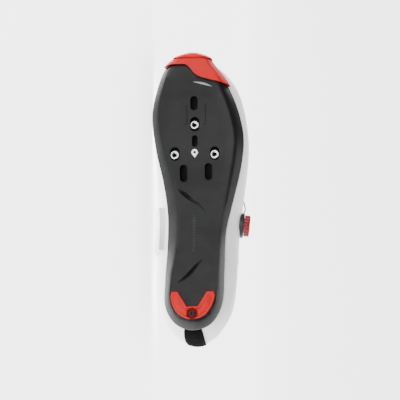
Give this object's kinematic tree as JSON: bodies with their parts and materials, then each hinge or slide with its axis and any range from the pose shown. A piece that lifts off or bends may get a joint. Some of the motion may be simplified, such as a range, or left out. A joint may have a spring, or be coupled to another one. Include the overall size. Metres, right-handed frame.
{
  "type": "cycling shoe",
  "caption": "Low road cycling shoe lying on its inner side, with a hollow upper, a stiff plate sole with cleat slots, and a lace dial.",
  "frame": {"origin": "centre of the bounding box's base, on the floor under the lying shoe", "axes": "toe towards -X, sole facing -Y, the shoe's outer side up towards +Z"},
  "size_m": [0.2752, 0.0984, 0.0881],
  "materials": {
    "composite": "dark grey moulded composite, satin",
    "red_rubber": "bright red rubber and plastic, satin",
    "bright_steel": "bright zinc-plated steel",
    "dark_steel": "blackened steel",
    "black_plastic": "black moulded plastic",
    "white_shell": "white synthetic leather, satin",
    "white_mesh": "white padded mesh",
    "grey_foam": "dark grey footbed cloth"
  },
  "bodies": {
    "root": {"outsole": "composite", "toe_bumper": "red_rubber", "heel_pad": "red_rubber", "heel_pad_screw": "dark_steel", "cleat_nut_front": "bright_steel", "cleat_nut_rear_inner": "bright_steel", "cleat_nut_rear_outer": "bright_steel", "sole_stud": "bright_steel", "upper": "white_shell", "tongue": "white_mesh", "insole": "grey_foam", "heel_strip": "composite", "eyestay_inner": "white_shell", "eyestay_outer": "white_shell", "instep_wing": "white_shell", "lace_guide_inner_front": "black_plastic", "lace_guide_inner_rear": "black_plastic", "lace_guide_outer_front": "black_plastic", "lace_guide_outer_rear": "black_plastic", "dial_base": "black_plastic", "dial_knob": "red_rubber", "lace_wire": "black_plastic"}
  },
  "joints": []
}
